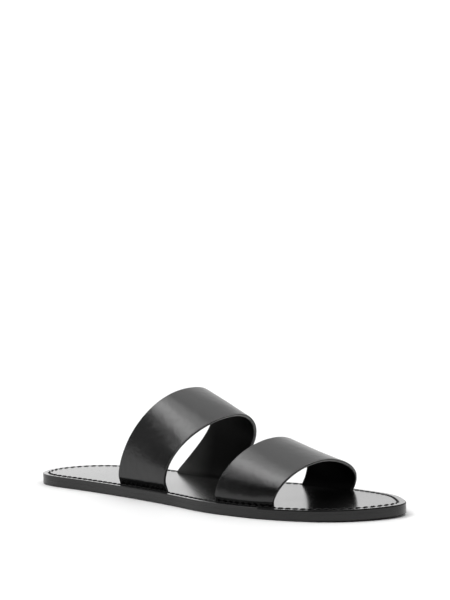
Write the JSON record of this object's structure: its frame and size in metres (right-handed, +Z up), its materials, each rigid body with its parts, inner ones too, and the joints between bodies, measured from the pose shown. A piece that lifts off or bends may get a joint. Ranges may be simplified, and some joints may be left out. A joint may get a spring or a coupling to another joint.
{
  "type": "strappy flat slide sandal",
  "caption": "Flat black leather slide sandal for the right foot: a thin stitched sole with a glossy insole and wide plain bands over the instep and the toes",
  "frame": {"origin": "middle of the shoe's box in plan, on the floor plane that the sole rests on", "axes": "+Y towards the toe, +Z up, +X towards the outer (lateral) side of the right foot"},
  "size_m": [0.0876, 0.262, 0.0639],
  "materials": {
    "sole_leather": "black dyed sole leather, burnished satin edge",
    "insole_leather": "black coated leather, glossy",
    "strap_leather": "smooth black leather, soft gloss, painted cut edges"
  },
  "bodies": {
    "root": {"outsole": "sole_leather", "insole": "insole_leather", "strap_rear": "strap_leather", "strap_front": "strap_leather"}
  },
  "joints": []
}
